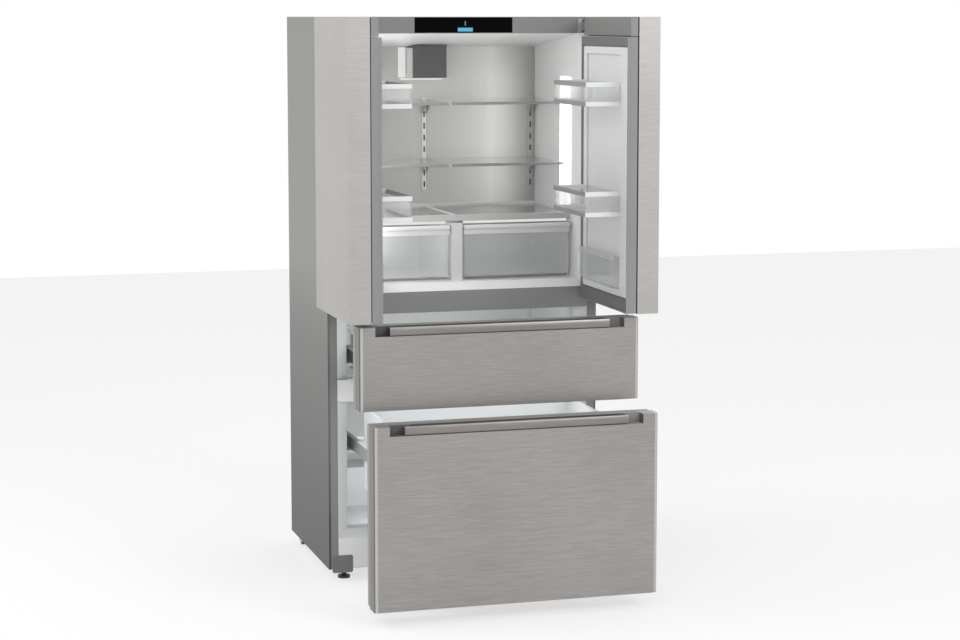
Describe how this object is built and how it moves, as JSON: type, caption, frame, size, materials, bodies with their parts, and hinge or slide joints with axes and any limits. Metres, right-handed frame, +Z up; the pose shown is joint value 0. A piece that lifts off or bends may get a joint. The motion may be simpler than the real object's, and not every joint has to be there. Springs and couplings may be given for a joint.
{
  "type": "french door refrigerator",
  "caption": "Free-standing refrigerator with hinged upper doors over pull-out freezer drawers.",
  "frame": {"origin": "on the floor, at mid width, in the plane of the cabinet's front edge", "axes": "+X to the right seen from the front, +Y to the rear, +Z up"},
  "size_m": [0.986, 1.194, 1.818],
  "materials": {
    "front_steel": "brushed",
    "side_steel": "satin",
    "frame_steel": "satin",
    "dark_metal": "satin",
    "foam": "matte",
    "white_plastic": "satin",
    "grey_plastic": "matte",
    "dark_plastic": "matte",
    "clear_plastic": "clear",
    "glass": "clear",
    "light_cover": "lit",
    "aluminium": "satin"
  },
  "bodies": {
    "cabinet": {"cabinet_wrap": "side_steel", "back_panel": "frame_steel", "machine_cover": "frame_steel", "mains_inlet": "dark_plastic", "base_frame": "frame_steel", "foot_left": "dark_plastic", "foot_right": "dark_plastic", "base_panel": "grey_plastic", "front_frame": "grey_plastic", "partition": "grey_plastic", "fascia": "grey_plastic", "control_panel": "glass", "fridge_liner": "white_plastic", "freezer_liner": "white_plastic", "evaporator": "aluminium", "insulation": "foam", "compressor": "dark_metal", "back_wall": "aluminium", "side_light_left": "light_cover", "side_light_right": "light_cover", "fan_housing": "dark_plastic", "shelf_upper_left": "glass", "shelf_lower_left": "glass", "shelf_upper_right": "glass", "shelf_lower_right": "glass", "crisper_cover": "glass", "crisper_divider": "white_plastic", "hinge_upper_left": "dark_metal", "hinge_lower_left": "dark_metal", "hinge_upper_right": "dark_metal", "hinge_lower_right": "dark_metal"},
    "door_left": {"door_left_skin": "front_steel", "door_left_core": "foam", "door_left_inner": "white_plastic", "bin_upper_left": "clear_plastic", "bin_middle_left": "clear_plastic", "bin_lower_left": "clear_plastic"},
    "door_right": {"door_right_skin": "front_steel", "door_right_core": "foam", "door_right_inner": "white_plastic", "bin_upper_right": "clear_plastic", "bin_middle_right": "clear_plastic", "bin_lower_right": "clear_plastic"},
    "drawer_upper": {"drawer_upper_front": "front_steel", "drawer_upper_core": "foam", "drawer_upper_inner": "grey_plastic", "drawer_upper_handle": "front_steel", "drawer_upper_tub": "white_plastic"},
    "slide_upper": {"drawer_upper_slide": "frame_steel"},
    "drawer_lower": {"drawer_lower_front": "front_steel", "drawer_lower_core": "foam", "drawer_lower_inner": "grey_plastic", "drawer_lower_handle": "front_steel", "drawer_lower_tub": "white_plastic"},
    "slide_lower": {"drawer_lower_slide": "frame_steel"},
    "crisper_left": {"crisper_left": "clear_plastic"},
    "roller_left": {"roller_left": "dark_plastic"},
    "crisper_right": {"crisper_right": "clear_plastic"},
    "roller_right": {"roller_right": "dark_plastic"},
    "air_fan": {"air_fan": "dark_plastic"}
  },
  "joints": [
    {"name": "door_left_hinge", "type": "hinge", "parent": "cabinet", "child": "door_left", "pos_m": [-0.429, -0.044, 0.9], "axis": [0, 0, -1], "range_deg": [-90, 20]},
    {"name": "door_right_hinge", "type": "hinge", "parent": "cabinet", "child": "door_right", "pos_m": [0.429, -0.044, 0.9], "axis": [0, 0, 1], "range_deg": [-90, 20]},
    {"name": "drawer_upper_travel", "type": "slide", "parent": "cabinet", "child": "drawer_upper", "axis": [0, -1, 0], "range_m": [-0.313, 0.1]},
    {"name": "slide_upper_travel", "type": "slide", "parent": "cabinet", "child": "slide_upper", "axis": [0, -1, 0], "range_m": [-0.1565, 0.05]},
    {"name": "drawer_lower_travel", "type": "slide", "parent": "cabinet", "child": "drawer_lower", "axis": [0, -1, 0], "range_m": [-0.489, 0.012]},
    {"name": "slide_lower_travel", "type": "slide", "parent": "cabinet", "child": "slide_lower", "axis": [0, -1, 0], "range_m": [-0.2445, 0.006]},
    {"name": "crisper_left_travel", "type": "slide", "parent": "cabinet", "child": "crisper_left", "axis": [0, -1, 0], "range_m": [0, 0.11]},
    {"name": "roller_left_spin", "type": "hinge", "parent": "cabinet", "child": "roller_left", "pos_m": [-0.42, 0.54, 0.018], "axis": [1, 0, 0], "continuous": true},
    {"name": "crisper_right_travel", "type": "slide", "parent": "cabinet", "child": "crisper_right", "axis": [0, -1, 0], "range_m": [0, 0.11]},
    {"name": "roller_right_spin", "type": "hinge", "parent": "cabinet", "child": "roller_right", "pos_m": [0.42, 0.54, 0.018], "axis": [1, 0, 0], "continuous": true},
    {"name": "air_fan_spin", "type": "hinge", "parent": "cabinet", "child": "air_fan", "pos_m": [0, 0.45, 1.662], "axis": [0, 1, 0], "continuous": true}
  ],
  "couplings": [
    {"joint": "slide_upper_travel", "follows": "drawer_upper_travel", "ratio": 0.5},
    {"joint": "slide_lower_travel", "follows": "drawer_lower_travel", "ratio": 0.5}
  ]
}
